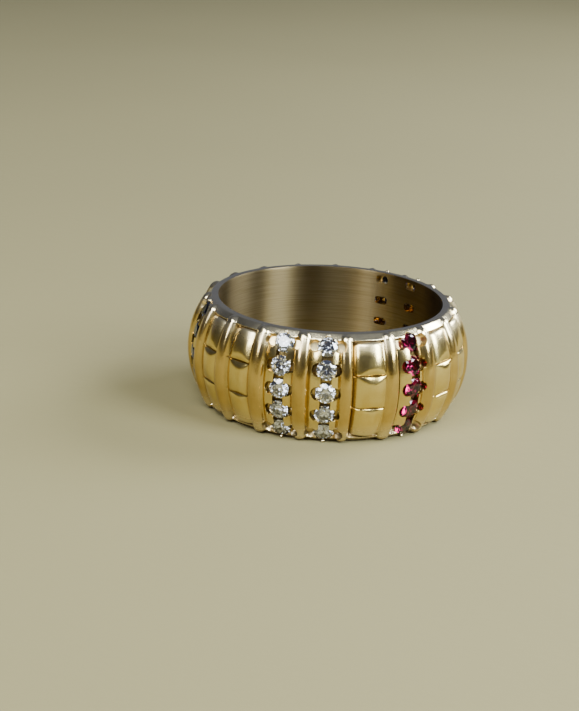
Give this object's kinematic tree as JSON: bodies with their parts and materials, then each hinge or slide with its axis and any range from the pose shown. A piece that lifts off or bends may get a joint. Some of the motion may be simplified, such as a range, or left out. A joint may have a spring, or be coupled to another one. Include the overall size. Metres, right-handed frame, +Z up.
{
  "type": "ruby ring",
  "caption": "Wide domed yellow gold finger ring with ribs and upright columns of small rubies, diamonds and sapphires, lying on its rim.",
  "frame": {"origin": "centre of the ring at the surface that it lies on", "axes": "+Z up along the axis of the finger hole, -Y towards the middle of the front diamond column, +X to its right"},
  "size_m": [0.0217, 0.0217, 0.0083],
  "materials": {
    "gold": "polished pale yellow gold, lightly worn",
    "diamond": "faceted clear stone",
    "ruby": "faceted raspberry red stone",
    "sapphire": "faceted very dark blue stone"
  },
  "bodies": {
    "root": {"band": "gold", "diamond_front_1": "diamond", "diamond_front_2": "diamond", "diamond_front_3": "diamond", "diamond_front_4": "diamond", "diamond_front_5": "diamond", "diamond_left_1": "diamond", "diamond_left_2": "diamond", "diamond_left_3": "diamond", "diamond_left_4": "diamond", "diamond_left_5": "diamond", "ruby_1": "ruby", "ruby_2": "ruby", "ruby_3": "ruby", "ruby_4": "ruby", "ruby_5": "ruby", "sapphire_left_1": "sapphire", "sapphire_left_2": "sapphire", "sapphire_left_3": "sapphire", "sapphire_left_4": "sapphire", "sapphire_left_5": "sapphire", "sapphire_rear_right_1": "sapphire", "sapphire_rear_right_2": "sapphire", "sapphire_rear_right_3": "sapphire", "sapphire_rear_right_4": "sapphire", "sapphire_rear_right_5": "sapphire", "sapphire_rear_1": "sapphire", "sapphire_rear_2": "sapphire", "sapphire_rear_3": "sapphire", "sapphire_rear_4": "sapphire", "sapphire_rear_5": "sapphire"}
  },
  "joints": []
}
